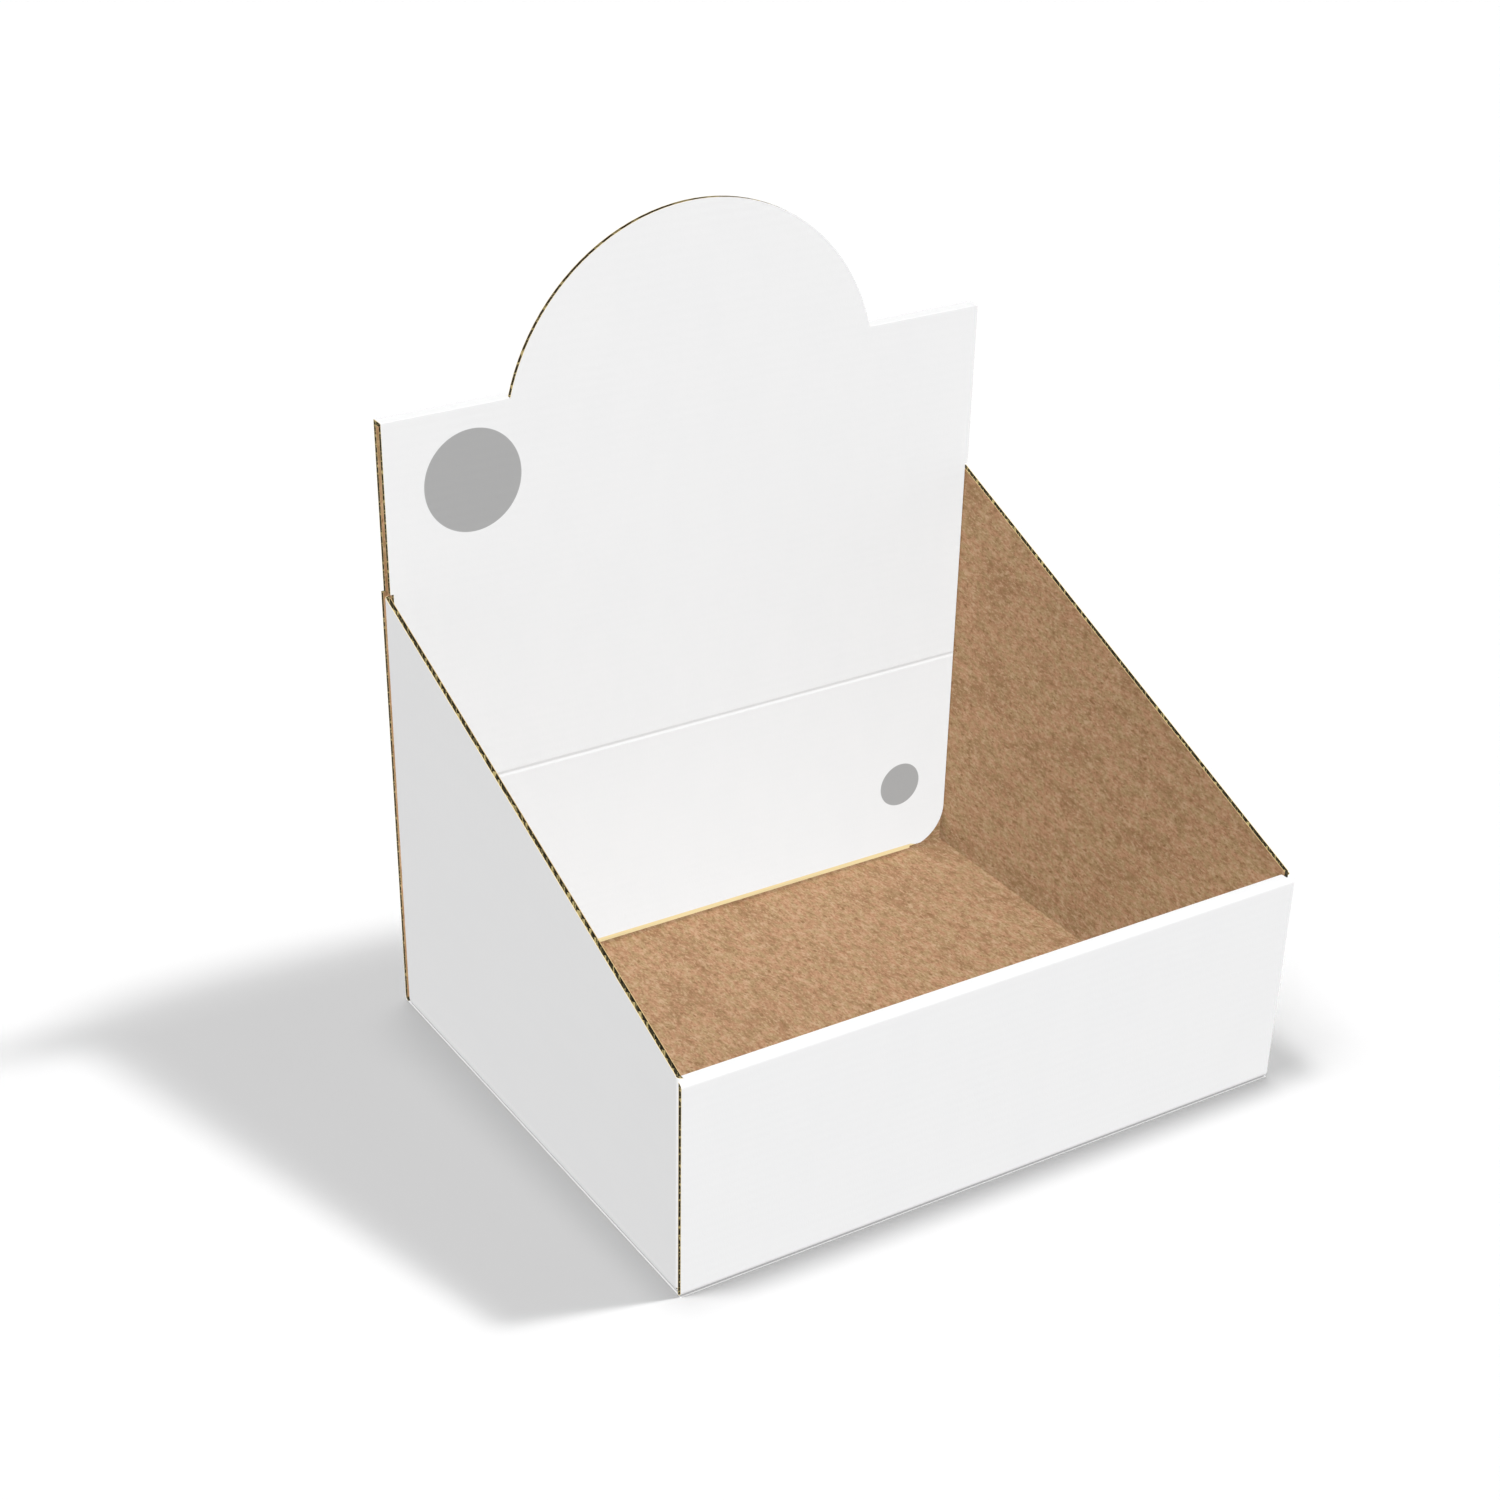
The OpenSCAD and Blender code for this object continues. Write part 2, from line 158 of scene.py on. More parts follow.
# A studio tent: dim light from all round, five soft lamps that cast no shadow,
# and five lamps that light only the floor, for the long shadow and the dark rim round the base
light = {
    "surround": 0.15,
    "softness": 20,   # degrees wide, for the soft lamps
    "lamps": {   # from where, how bright a face that looks at the lamp gets
        "keyLamp": ((0.486, -0.192, 0.853), 0.53),
        "frontLamp": ((0, -0.970, 0.243), 0.622),
        "leftLamp": ((-0.970, 0, 0.243), 0.53),
        "backLamp": ((0, 0.970, 0.243), 0.53),
        "rightLamp": ((0.970, 0, 0.243), 0.39),
    },
    "floorLamps": {   # from where, how bright, how many degrees wide
        "longShadowLamp": ((0.70, -0.20, 1.0), 8.24, 5),
        "wideShadowLamp": ((0.68, -0.19, 1.0), 7.75, 9),
        "frontRimLamp": ((-0.22, 0.09, 1.0), 8.91, 9),
        "leftRimLamp": ((0.055, 0.09, 1.0), 5.35, 11),
        "rightShadowLamp": ((-0.45, 0.06, 1.0), 6.59, 18),
    },
}
floorSetup = {
    "half": 12,
    "drop": 0.0001,      # under the box's flat underside
    "paper": 0.030,      # dark paper under bright lamps, which adds up to white
    "underBoxGlow": 0.40,    # painted light: the floor glows under the box, so the sliver of floor in shadow under the bottom creases doesn't go black
    "returned": 0.42,    # an even floor, as the box sees it
}


def makeLamp(name, direction, brightness, angle):
    lamp = newObject(name, bpy.data.lights.new(name, "SUN"))
    lamp.data.energy = brightness * math.pi
    lamp.data.angle = math.radians(angle)
    lamp.rotation_mode = "QUATERNION"
    lamp.rotation_quaternion = Vector(direction).to_track_quat("Z", "Y")
    return lamp


def makeLight():
    world = bpy.data.worlds.new("studio")
    scene.world = world
    world.use_nodes = True
    tree = world.node_tree
    tree.nodes.clear()
    path = tree.nodes.new("ShaderNodeLightPath").outputs
    shown = mathNode(tree, "MAXIMUM", path["Is Camera Ray"], path["Is Glossy Ray"])
    shown = mathNode(tree, "MAXIMUM", shown, path["Is Transmission Ray"])
    mix = tree.nodes.new("ShaderNodeMixShader")
    plug(tree, shown, mix.inputs[0])
    for socket, strength in ((mix.inputs[1], light["surround"]), (mix.inputs[2], 1)):
        glow = tree.nodes.new("ShaderNodeBackground")
        glow.inputs["Color"].default_value = (1, 1, 1, 1)
        glow.inputs["Strength"].default_value = strength
        plug(tree, glow.outputs[0], socket)
    plug(tree, mix.outputs[0], tree.nodes.new("ShaderNodeOutputWorld").inputs[0])
    for name, (direction, brightness) in light["lamps"].items():
        makeLamp(name, direction, brightness, light["softness"]).data.use_shadow = False


def makeFloor():
    half, level = floorSetup["half"], -floorSetup["drop"]
    corners = [(x * half, y * half, level) for x, y in ((-1, -1), (1, -1), (1, 1), (-1, 1))]
    mesh = bpy.data.meshes.new("floor")
    mesh.from_pydata(corners, [], [(0, 1, 2, 3)])
    floor = newObject("floor", mesh)
    material, tree, shader = newMaterial("floorPaper")
    seen = tree.nodes.new("ShaderNodeLightPath").outputs["Is Camera Ray"]
    shade = mixColour(tree, seen, (0, 0, 0, 1), (floorSetup["paper"],) * 3 + (1,))
    plug(tree, shade, shader.inputs["Base Color"])
    split = tree.nodes.new("ShaderNodeSeparateXYZ")
    plug(tree, tree.nodes.new("ShaderNodeTexCoord").outputs["Object"], split.inputs[0])
    # painted light: inside the box's footprint the floor glows for the camera
    within = [mathNode(tree, "LESS_THAN", mathNode(tree, "ABSOLUTE", split.outputs[a]), cadBounds[1][a])
              for a in (0, 1)]
    under = mathNode(tree, "MULTIPLY", mathNode(tree, "MULTIPLY", *within), floorSetup["underBoxGlow"])
    glow = rangeNode(tree, seen, 0, 1, floorSetup["returned"], under)
    plug(tree, glow, shader.inputs["Emission Strength"])
    shader.inputs["Emission Color"].default_value = (1, 1, 1, 1)
    material.cycles.emission_sampling = "NONE"
    shader.inputs["Roughness"].default_value = 1
    shader.inputs["Specular IOR Level"].default_value = 0
    mesh.materials.append(material)
    onlyFloor = bpy.data.collections.new("onlyFloor")
    onlyFloor.objects.link(floor)
    for name, (direction, brightness, angle) in light["floorLamps"].items():
        makeLamp(name, direction, brightness, angle).light_linking.receiver_collection = onlyFloor


# Small helpers for node trees
numberSocket, vectorSocket, colourSocket = "NodeSocketFloat", "NodeSocketVector", "NodeSocketColor"


def newMaterial(name):
    material = bpy.data.materials.new(name)
    material.use_nodes = True
    return material, material.node_tree, material.node_tree.nodes["Principled BSDF"]


def plug(tree, value, socket):
    if isinstance(value, bpy.types.NodeSocket):
        tree.links.new(value, socket)
    elif value is not None:
        socket.default_value = value


def mathNode(tree, operation, first, second=None):
    node = tree.nodes.new("ShaderNodeMath")
    node.operation = operation
    plug(tree, first, node.inputs[0])
    plug(tree, second, node.inputs[1])
    return node.outputs[0]


def vectorNode(tree, operation, first, second=None):
    node = tree.nodes.new("ShaderNodeVectorMath")
    node.operation = operation
    plug(tree, first, node.inputs[0])
    plug(tree, second, node.inputs[1])
    return node.outputs["Value"] if operation in ("DOT_PRODUCT", "DISTANCE") else node.outputs[0]


def mixColour(tree, share, first, second):
    node = tree.nodes.new("ShaderNodeMix")
    node.data_type = "RGBA"
    plug(tree, share, node.inputs[0])
    plug(tree, first, node.inputs[6])
    plug(tree, second, node.inputs[7])
    return node.outputs[2]


def noiseNode(tree, vector, detail, roughness, scale):
    node = tree.nodes.new("ShaderNodeTexNoise")
    node.inputs["Scale"].default_value = scale
    node.inputs["Detail"].default_value = detail
    node.inputs["Roughness"].default_value = roughness
    plug(tree, vector, node.inputs["Vector"])
    return node.outputs[0]


def rangeNode(tree, value, low, high, toLow=0.0, toHigh=1.0):
    node = tree.nodes.new("ShaderNodeMapRange")
    node.interpolation_type = "SMOOTHSTEP"
    plug(tree, value, node.inputs[0])
    for socket, number in zip(node.inputs[1:5], (low, high, toLow, toHigh)):
        plug(tree, number, socket)
    return node.outputs[0]


def bumpNode(tree, height, distance, normal=None):
    node = tree.nodes.new("ShaderNodeBump")
    node.inputs["Distance"].default_value = distance
    plug(tree, height, node.inputs["Height"])
    plug(tree, normal, node.inputs["Normal"])
    return node.outputs[0]


def newGroup(name, takes, gives):
    group = bpy.data.node_groups.new(name, "ShaderNodeTree")
    for label, kind, value in takes:
        socket = group.interface.new_socket(name=label, in_out="INPUT", socket_type=kind)
        if value is not None:
            socket.default_value = value
    for label, kind in gives:
        group.interface.new_socket(name=label, in_out="OUTPUT", socket_type=kind)
    return group, group.nodes.new("NodeGroupInput").outputs, group.nodes.new("NodeGroupOutput").inputs


def useGroup(tree, group, **values):
    node = tree.nodes.new("ShaderNodeGroup")
    node.node_tree = group
    for label, value in values.items():
        plug(tree, value, node.inputs[label])
    return node.outputs


# Shader groups: the raw cut, the papers, the flutes that show through, pressed lines and flat prints
cutFacing = 0.5   # a face counts as turned to a direction above this cosine


def buildCutEdge():
    group, takes, gives = newGroup(
        "cutEdge",
        [("Normal", vectorSocket, None), ("Axis", vectorSocket, (0, 1, 0)),
         ("Inward", vectorSocket, (0, 0, 0))],
        [("Ends", numberSocket), ("Rim", numberSocket), ("Top", numberSocket), ("Inside", numberSocket)])
    along = vectorNode(group, "DOT_PRODUCT", takes["Normal"], takes["Axis"])
    size = mathNode(group, "ABSOLUTE", along)
    facing = vectorNode(group, "DOT_PRODUCT", takes["Normal"], takes["Inward"])
    for label, test, value in (("Ends", "GREATER_THAN", size), ("Rim", "LESS_THAN", size),
                               ("Top", "GREATER_THAN", along), ("Inside", "GREATER_THAN", facing)):
        plug(group, mathNode(group, test, value, cutFacing), gives[label])
    return group


kraftNoise = {   # detail, roughness, scale, and how far it is moved off the others
    "streaks": (4, 0.62, 360, None),
    "fibres": (2, 0.6, 1050, None),
    "clouds": (3, 0.55, 60, None),
    "tints": (3, 0.65, 330, (3.1, 1.7, 0.4)),
    "specks": (1, 0.4, 420, (0.7, 5.3, 2.9)),
}
kraftMix = {
    "tints": (0.38, 0.62),
    "paperShare": 0.35,
    "layers": (   # noise, where it starts and is full, how strong it gets, its tone
        ("clouds", 0.45, 0.68, 0.42, "Dark Fibre"),
        ("streaks", 0.50, 0.72, 0.76, "Pale Fibre"),
        ("streaks", 0.50, 0.28, 0.76, "Dark Fibre"),
        ("fibres", 0.50, 0.72, 0.70, "Dark Fibre"),
        ("fibres", 0.48, 0.28, 0.70, "Pale Fibre"),
        ("specks", 0.69, 0.75, 0.80, "Dark Fibre"),
    ),
    "height": {"streaks": 0.6, "fibres": 0.4},
    "roughness": (0.3, 0.7, 0.95, 0.78),
}


def buildKraftFibres():
    tones = ("Paper", "Dark Fibre", "Pale Fibre", "Red Tint", "Green Tint")
    group, takes, gives = newGroup(
        "kraftFibres",
        [("Vector", vectorSocket, None), ("Stretch", vectorSocket, (1, 0.25, 1))]
        + [(tone, colourSocket, None) for tone in tones],
        [("Color", colourSocket), ("Height", numberSocket), ("Roughness", numberSocket)])
    lengthwise = vectorNode(group, "MULTIPLY", takes["Vector"], takes["Stretch"])
    noise = {}
    for label, (detail, roughness, scale, offset) in kraftNoise.items():
        place = vectorNode(group, "ADD", lengthwise, offset) if offset else lengthwise
        noise[label] = noiseNode(group, place, detail, roughness, scale)
    tinted = rangeNode(group, noise["tints"], *kraftMix["tints"])
    shade = mixColour(group, tinted, takes["Red Tint"], takes["Green Tint"])
    shade = mixColour(group, kraftMix["paperShare"], shade, takes["Paper"])
    for label, start, full, strength, tone in kraftMix["layers"]:
        share = rangeNode(group, noise[label], start, full, 0, strength)
        shade = mixColour(group, share, shade, takes[tone])
    plug(group, shade, gives["Color"])
    heights = [mathNode(group, "MULTIPLY", noise[label], part)
               for label, part in kraftMix["height"].items()]
    plug(group, mathNode(group, "ADD", *heights), gives["Height"])
    plug(group, rangeNode(group, noise["fibres"], *kraftMix["roughness"]), gives["Roughness"])
    return group


whiteMix = {
    "cloud": (3, 0.5, 60),      # detail, roughness, scale
    "tooth": (2, 0.6, 1500),
    "cloudShade": (0.35, 0.70, 0, 1),
    "toothShade": (0.50, 0.80, 0, 0.5),
    "roughness": (0.3, 0.7, 0.50, 0.62),
}


def buildWhitePaper():
    group, takes, gives = newGroup(
        "whitePaper",
        [("Vector", vectorSocket, None), ("Stretch", vectorSocket, (1, 0.4, 1)),
         ("Paper", colourSocket, None), ("Shade", colourSocket, None)],
        [("Color", colourSocket), ("Height", numberSocket), ("Roughness", numberSocket)])
    lengthwise = vectorNode(group, "MULTIPLY", takes["Vector"], takes["Stretch"])
    cloud = noiseNode(group, lengthwise, *whiteMix["cloud"])
    tooth = noiseNode(group, lengthwise, *whiteMix["tooth"])
    clouded = rangeNode(group, cloud, *whiteMix["cloudShade"])
    shade = mixColour(group, clouded, takes["Paper"], takes["Shade"])
    shade = mixColour(group, rangeNode(group, tooth, *whiteMix["toothShade"]), shade, takes["Shade"])
    plug(group, shade, gives["Color"])
    plug(group, tooth, gives["Height"])
    plug(group, rangeNode(group, tooth, *whiteMix["roughness"]), gives["Roughness"])
    return group


def buildWashboard():   # the liner sinks a little between the flutes
    group, takes, gives = newGroup(
        "washboard",
        [("Vector", vectorSocket, None), ("Across", vectorSocket, (0, 0, 1)),
         ("Pitch", numberSocket, board["pitch"])],
        [("Height", numberSocket)])
    along = vectorNode(group, "DOT_PRODUCT", takes["Vector"], takes["Across"])
    turn = mathNode(group, "MULTIPLY", mathNode(group, "DIVIDE", along, takes["Pitch"]), math.tau)
    plug(group, mathNode(group, "SINE", turn), gives["Height"])
    return group


def buildPressedLine():   # a groove that a creasing rule left, across one coordinate
    group, takes, gives = newGroup(
        "pressedLine",
        [("Vector", vectorSocket, None), ("Across", vectorSocket, (0, 0, 1)),
         ("Place", numberSocket, 0.0), ("Width", numberSocket, 0.0015)],
        [("Height", numberSocket)])
    along = vectorNode(group, "DOT_PRODUCT", takes["Vector"], takes["Across"])
    off = mathNode(group, "ABSOLUTE", mathNode(group, "SUBTRACT", along, takes["Place"]))
    plug(group, rangeNode(group, off, 0.0, takes["Width"], 0, 1), gives["Height"])
    return group


discs = {
    "grey": (0.395, 0.395, 0.395, 1),
    "blur": 0.00015,
    "places": {   # centre and radius
        "lid_panel": ((-0.1098, 0, 0.2516), 0.0230),
        "tuck_flap": ((0.1212, 0, 0.0425), 0.0115),
    },
}


def buildRoundPrint():
    group, takes, gives = newGroup(
        "roundPrint",
        [("Vector", vectorSocket, None), ("Centre", vectorSocket, None), ("Radius", numberSocket, 0.02)],
        [("Mask", numberSocket)])
    flat = vectorNode(group, "MULTIPLY", takes["Vector"], (1, 0, 1))
    far = vectorNode(group, "DISTANCE", flat, takes["Centre"])
    over = mathNode(group, "SUBTRACT", far, takes["Radius"])
    plug(group, rangeNode(group, over, -discs["blur"], discs["blur"], 1, 0), gives["Mask"])
    return group


bareStrip = {   # the tuck flap's lower edge, where the white coat stops short
    "colour": (0.87, 0.70, 0.38, 1),
    "shade": 0.9,
    "grainAlong": 0.3,
    "height": 0.0023,
    "half": 0.1300,
    "taper": 0.35,            # how fast it thins out past its half width
    "blur": 0.0001,
    "cornerRadius": 0.020,    # of the flap
}
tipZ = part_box("tuck_flap_inner_liner")[0][2]


def buildBareStrip():   # a level band along the bottom that tapers off at both ends
    group, takes, gives = newGroup(
        "bareStrip",
        [("Vector", vectorSocket, None), ("Height", numberSocket, 0.005), ("Half", numberSocket, 0.13)],
        [("Mask", numberSocket)])
    split = group.nodes.new("ShaderNodeSeparateXYZ")
    plug(group, takes["Vector"], split.inputs[0])
    side = mathNode(group, "ABSOLUTE", split.outputs[0])
    past = mathNode(group, "MAXIMUM", mathNode(group, "SUBTRACT", side, takes["Half"]), 0)
    lost = mathNode(group, "MULTIPLY", past, bareStrip["taper"])
    over = mathNode(group, "SUBTRACT", split.outputs[2], mathNode(group, "SUBTRACT", takes["Height"], lost))
    plug(group, rangeNode(group, over, -bareStrip["blur"], bareStrip["blur"], 1, 0), gives["Mask"])
    return group


groups = {
    "cutEdge": buildCutEdge(),
    "strip": buildBareStrip(),
    "kraft": buildKraftFibres(),
    "white": buildWhitePaper(),
    "washboard": buildWashboard(),
    "pressed": buildPressedLine(),
    "print": buildRoundPrint(),
}

paperLooks = {
    "white": {
        "tones": {"Paper": (0.86, 0.86, 0.862, 1), "Shade": (0.853, 0.854, 0.857, 1)},
        "edge": (0.95, 0.76, 0.41, 1),
        "specular": 0.35,
        "grainAlong": 0.4,
        "toothDepth": 0.00002,
        "washboardDepth": 0.000009,
        "creaseDepth": 0.00030,
    },
    "kraft": {
        "tones": {
            "Paper": (0.361, 0.217, 0.118, 1),
            "Dark Fibre": (0.213, 0.108, 0.046, 1),
            "Pale Fibre": (0.482, 0.321, 0.195, 1),
            "Red Tint": (0.403, 0.211, 0.117, 1),
            "Green Tint": (0.320, 0.221, 0.101, 1),
        },
        "edge": (0.72, 0.52, 0.25, 1),
        "foldPaintedLight": 1.25,   # painted light: the kraft between the header's two layers is made a quarter paler, to make up for the light the narrow gap loses
        # What the white board sees of it, so that no tan light lies on the header
        "returned": (0.20, 0.195, 0.19, 1),
        "specular": 0.2,
        "grainAlong": 0.48,
        "toothDepth": 0.00006,
        "washboardDepth": 0.000022,
    },
}
paintedFluteShade = (0.022, 0.019, 0.010, 1)   # painted shade: a liner's face that looks into the flutes is near-black, for the shade inside them
cutAxes = {"ends": (1, 0, 0), "rim": (0, 1, 0), "top": (0, 0, 1)}
creaseLines = {   # where a crease runs along a white panel
    "lid_panel": 0.1085,
    "tuck_flap": 0.1085,
    "header_back": 0.2078,
    "back_wall": 0.2078,
}


def axisVector(axis, size=1.0, rest=0.0):
    return tuple(size if i == axis else rest for i in range(3))


def layPaper(tree, kind, place, stretch, gain=1):
    tones = {label: tuple(gain * c for c in tone[:3]) + (1,)
             for label, tone in paperLooks[kind]["tones"].items()}
    return useGroup(tree, groups[kind], Vector=place, Stretch=stretch, **tones)


def plyMaterial(panel, ply):
    row = panelTable[panel]
    white = ply == "outer_liner"
    kind = "white" if white else "kraft"
    look = paperLooks[kind]
    material, tree, shader = newMaterial(f"{kind}Liner_{panel}")
    place = tree.nodes.new("ShaderNodeTexCoord").outputs
    stretch = axisVector(travelAxis(panel), look["grainAlong"], 1.0)
    # painted light: only the header back's kraft is made paler
    gain = look["foldPaintedLight"] if panel == "header_back" and not white else 1
    paper = layPaper(tree, kind, place["Object"], stretch, gain)
    colour = paper["Color"]
    if white and panel in discs["places"]:
        centre, radius = discs["places"][panel]
        ink = useGroup(tree, groups["print"], Vector=place["Object"], Centre=centre, Radius=radius)
        colour = mixColour(tree, ink["Mask"], colour, discs["grey"])
    if white and panel == "tuck_flap":
        bare = useGroup(tree, groups["strip"], Vector=place["Object"],
                        Height=tipZ + bareStrip["height"], Half=bareStrip["half"])
        colour = mixColour(tree, bare["Mask"], colour, bareStrip["colour"])
    if row["cut"] in cutAxes:
        inward = axisVector(row["thin"], -row["white"] if white else row["white"])
        cut = useGroup(tree, groups["cutEdge"], Normal=place["Normal"],
                       Axis=cutAxes[row["cut"]], Inward=inward)
        colour = mixColour(tree, cut[row["cut"].capitalize()], colour, look["edge"])
        # painted shade: the faces that look into the flutes take the near-black
        colour = mixColour(tree, cut["Inside"], colour, paintedFluteShade)
    if not white:
        path = tree.nodes.new("ShaderNodeLightPath")
        colour = mixColour(tree, path.outputs["Is Diffuse Ray"], colour, look["returned"])
    plug(tree, colour, shader.inputs["Base Color"])
    plug(tree, paper["Roughness"], shader.inputs["Roughness"])
    shader.inputs["Specular IOR Level"].default_value = look["specular"]
    wave = useGroup(tree, groups["washboard"], Vector=place["Object"],
                    Across=axisVector(travelAxis(panel)), Pitch=board["pitch"])
    normal = bumpNode(tree, paper["Height"], look["toothDepth"])
    normal = bumpNode(tree, wave["Height"], look["washboardDepth"], normal)
    if white and panel in creaseLines:
        line = useGroup(tree, groups["pressed"], Vector=place["Object"],
                        Across=(0, 0, 1), Place=creaseLines[panel])
        normal = bumpNode(tree, line["Height"], look["creaseDepth"], normal)
    plug(tree, normal, shader.inputs["Normal"])
    return material


# painted shade: the medium's faces and cut are near-black for the shade inside the flutes; the pale speckle
# on the cut is the paper itself
mediumLookPaintedShade = {
    "face": (0.030, 0.026, 0.013, 1),
    "shade": (0.022, 0.019, 0.010, 1),
    "cut": (0.036, 0.031, 0.016, 1),
    "cutPale": (0.42, 0.34, 0.15, 1),
    "cutNoise": (1, 0.5, 900),   # detail, roughness, scale
    "cutRange": (0.50, 0.60),
    "grainAlong": 0.5,
    "roughness": 0.9,
    "specular": 0.15,
}


def mediumMaterial(cutAxis, name):   # the corrugated paper, painted near-black as shade inside the flutes, paler and speckled where it is cut through
    material, tree, shader = newMaterial(name)
    place = tree.nodes.new("ShaderNodeTexCoord").outputs
    fibres = useGroup(tree, groups["white"], Vector=place["Object"],
                      Stretch=axisVector(cutAxis, mediumLookPaintedShade["grainAlong"], 1.0),
                      Paper=mediumLookPaintedShade["face"], Shade=mediumLookPaintedShade["shade"])
    cut = useGroup(tree, groups["cutEdge"], Normal=place["Normal"], Axis=axisVector(cutAxis))["Ends"]
    flat = vectorNode(tree, "MULTIPLY", place["Object"], axisVector(cutAxis, 0.0, 1.0))
    layers = noiseNode(tree, flat, *mediumLookPaintedShade["cutNoise"])
    layers = rangeNode(tree, layers, *mediumLookPaintedShade["cutRange"])
    layers = mixColour(tree, layers, mediumLookPaintedShade["cut"], mediumLookPaintedShade["cutPale"])
    plug(tree, mixColour(tree, cut, fibres["Color"], layers), shader.inputs["Base Color"])
    shader.inputs["Roughness"].default_value = mediumLookPaintedShade["roughness"]
    shader.inputs["Specular IOR Level"].default_value = mediumLookPaintedShade["specular"]
    return material


def dressNode(node, material):
    slots = cadNodes[node].data.materials
    for i in range(len(slots)):
        slots[i] = material
    if not len(slots):
        slots.append(material)


for panel in panelTable:
    for ply in ("outer_liner", "inner_liner"):
        dressNode(f"{panel}_{ply}", plyMaterial(panel, ply))
mediumPapers = {axis: mediumMaterial(axis, f"flutedPaper_{'xyz'[axis]}") for axis in (0, 1, 2)}
print("papers made:", len(bpy.data.materials))


# Corrugated medium. A flat sheet of narrow strips is laid in the middle of each board,
# and Geometry Nodes raise the wave in it and give it the paper's thickness.
def buildFlutedMedium():
    tree = bpy.data.node_groups.new("flutedMedium", "GeometryNodeTree")
    face = tree.interface
    face.new_socket(name="Strips", in_out="INPUT", socket_type="NodeSocketGeometry")
    for label in ("Pitch", "Wave Height", "Paper Thickness"):
        face.new_socket(name=label, in_out="INPUT", socket_type="NodeSocketFloat")
    for label in ("Lowest", "Highest"):   # the cut ends stay inside the ply's own box
        face.new_socket(name=label, in_out="INPUT", socket_type="NodeSocketVector")
    face.new_socket(name="Paper", in_out="INPUT", socket_type="NodeSocketMaterial")
    face.new_socket(name="Medium", in_out="OUTPUT", socket_type="NodeSocketGeometry")
    takes = tree.nodes.new("NodeGroupInput").outputs
    gives = tree.nodes.new("NodeGroupOutput").inputs

    def attribute(name, kind):
        node = tree.nodes.new("GeometryNodeInputNamedAttribute")
        node.data_type = kind
        node.inputs["Name"].default_value = name
        return node.outputs[0]

    def scaled(vector, factor):
        node = tree.nodes.new("ShaderNodeVectorMath")
        node.operation = "SCALE"
        plug(tree, vector, node.inputs[0])
        plug(tree, factor, node.inputs["Scale"])
        return node.outputs[0]

    def moved(geometry, offset):
        node = tree.nodes.new("GeometryNodeSetPosition")
        plug(tree, geometry, node.inputs["Geometry"])
        plug(tree, offset, node.inputs["Offset"])
        return node.outputs[0]

    turns = mathNode(tree, "DIVIDE", attribute("alongBoard", "FLOAT"), takes["Pitch"])
    wave = mathNode(tree, "SINE", mathNode(tree, "MULTIPLY", turns, math.tau))
    height = mathNode(tree, "MULTIPLY", wave, takes["Wave Height"])
    raised = moved(takes["Strips"], scaled(attribute("outward", "FLOAT_VECTOR"), height))
    normal = tree.nodes.new("GeometryNodeInputNormal").outputs[0]
    halfPaper = mathNode(tree, "MULTIPLY", takes["Paper Thickness"], -0.5)
    back = moved(raised, scaled(normal, halfPaper))
    extrude = tree.nodes.new("GeometryNodeExtrudeMesh")
    extrude.mode = "FACES"
    extrude.inputs["Individual"].default_value = False
    plug(tree, back, extrude.inputs["Mesh"])
    plug(tree, takes["Paper Thickness"], extrude.inputs["Offset Scale"])
    flip = tree.nodes.new("GeometryNodeFlipFaces")
    plug(tree, back, flip.inputs["Mesh"])
    smoothed = []
    for geometry, side in ((extrude.outputs["Mesh"], extrude.outputs["Side"]), (flip.outputs[0], None)):
        smooth = tree.nodes.new("GeometryNodeSetShadeSmooth")
        plug(tree, geometry, smooth.inputs["Geometry"])
        if side is None:
            smooth.inputs["Shade Smooth"].default_value = True
        else:
            flat = tree.nodes.new("FunctionNodeBooleanMath")
            flat.operation = "NOT"
            plug(tree, side, flat.inputs[0])
            plug(tree, flat.outputs[0], smooth.inputs["Shade Smooth"])
        smoothed.append(smooth.outputs[0])
    join = tree.nodes.new("GeometryNodeJoinGeometry")
    for geometry in smoothed:
        tree.links.new(geometry, join.inputs[0])
    weld = tree.nodes.new("GeometryNodeMergeByDistance")
    weld.inputs["Distance"].default_value = 1e-7
    plug(tree, join.outputs[0], weld.inputs["Geometry"])
    trim = tree.nodes.new("GeometryNodeSetPosition")
    place = tree.nodes.new("GeometryNodeInputPosition").outputs[0]
    place = vectorNode(tree, "MAXIMUM", place, takes["Lowest"])
    plug(tree, vectorNode(tree, "MINIMUM", place, takes["Highest"]), trim.inputs["Position"])
    plug(tree, weld.outputs[0], trim.inputs["Geometry"])
    real = tree.nodes.new("GeometryNodeRealizeInstances")
    plug(tree, trim.outputs[0], real.inputs[0])
    paint = tree.nodes.new("GeometryNodeSetMaterial")
    plug(tree, real.outputs[0], paint.inputs["Geometry"])
    plug(tree, takes["Paper"], paint.inputs["Material"])
    plug(tree, paint.outputs[0], gives["Medium"])
    return tree


flutedTree = buildFlutedMedium()


def plateOutline(nodeName, thin):   # the edges round a flat ply, as pairs of points in its plane
    mesh = cadNodes[nodeName].data
    flat = [a for a in range(3) if a != thin]
    low = min(v.co[thin] for v in mesh.vertices)
    uses = {}
    for polygon in mesh.polygons:
        corners = [mesh.vertices[i].co for i in polygon.vertices]
        if max(c[thin] for c in corners) - low > tiny:
            continue
        points = [tuple(round(c[a], 6) for a in flat) for c in corners]
        for i, point in enumerate(points):
            edge = tuple(sorted((point, points[i - 1])))
            uses[edge] = uses.get(edge, 0) + 1
    return [edge for edge, count in uses.items() if count == 1]


def spansAt(edges, s, along):   # where a line across the outline enters and leaves the board
    hits = []
    for a, b in edges:
        if min(a[along], b[along]) < s < max(a[along], b[along]):
            share = (s - a[along]) / (b[along] - a[along])
            hits.append(a[1 - along] + share * (b[1 - along] - a[1 - along]))
    hits.sort()
    return list(zip(hits[::2], hits[1::2]))


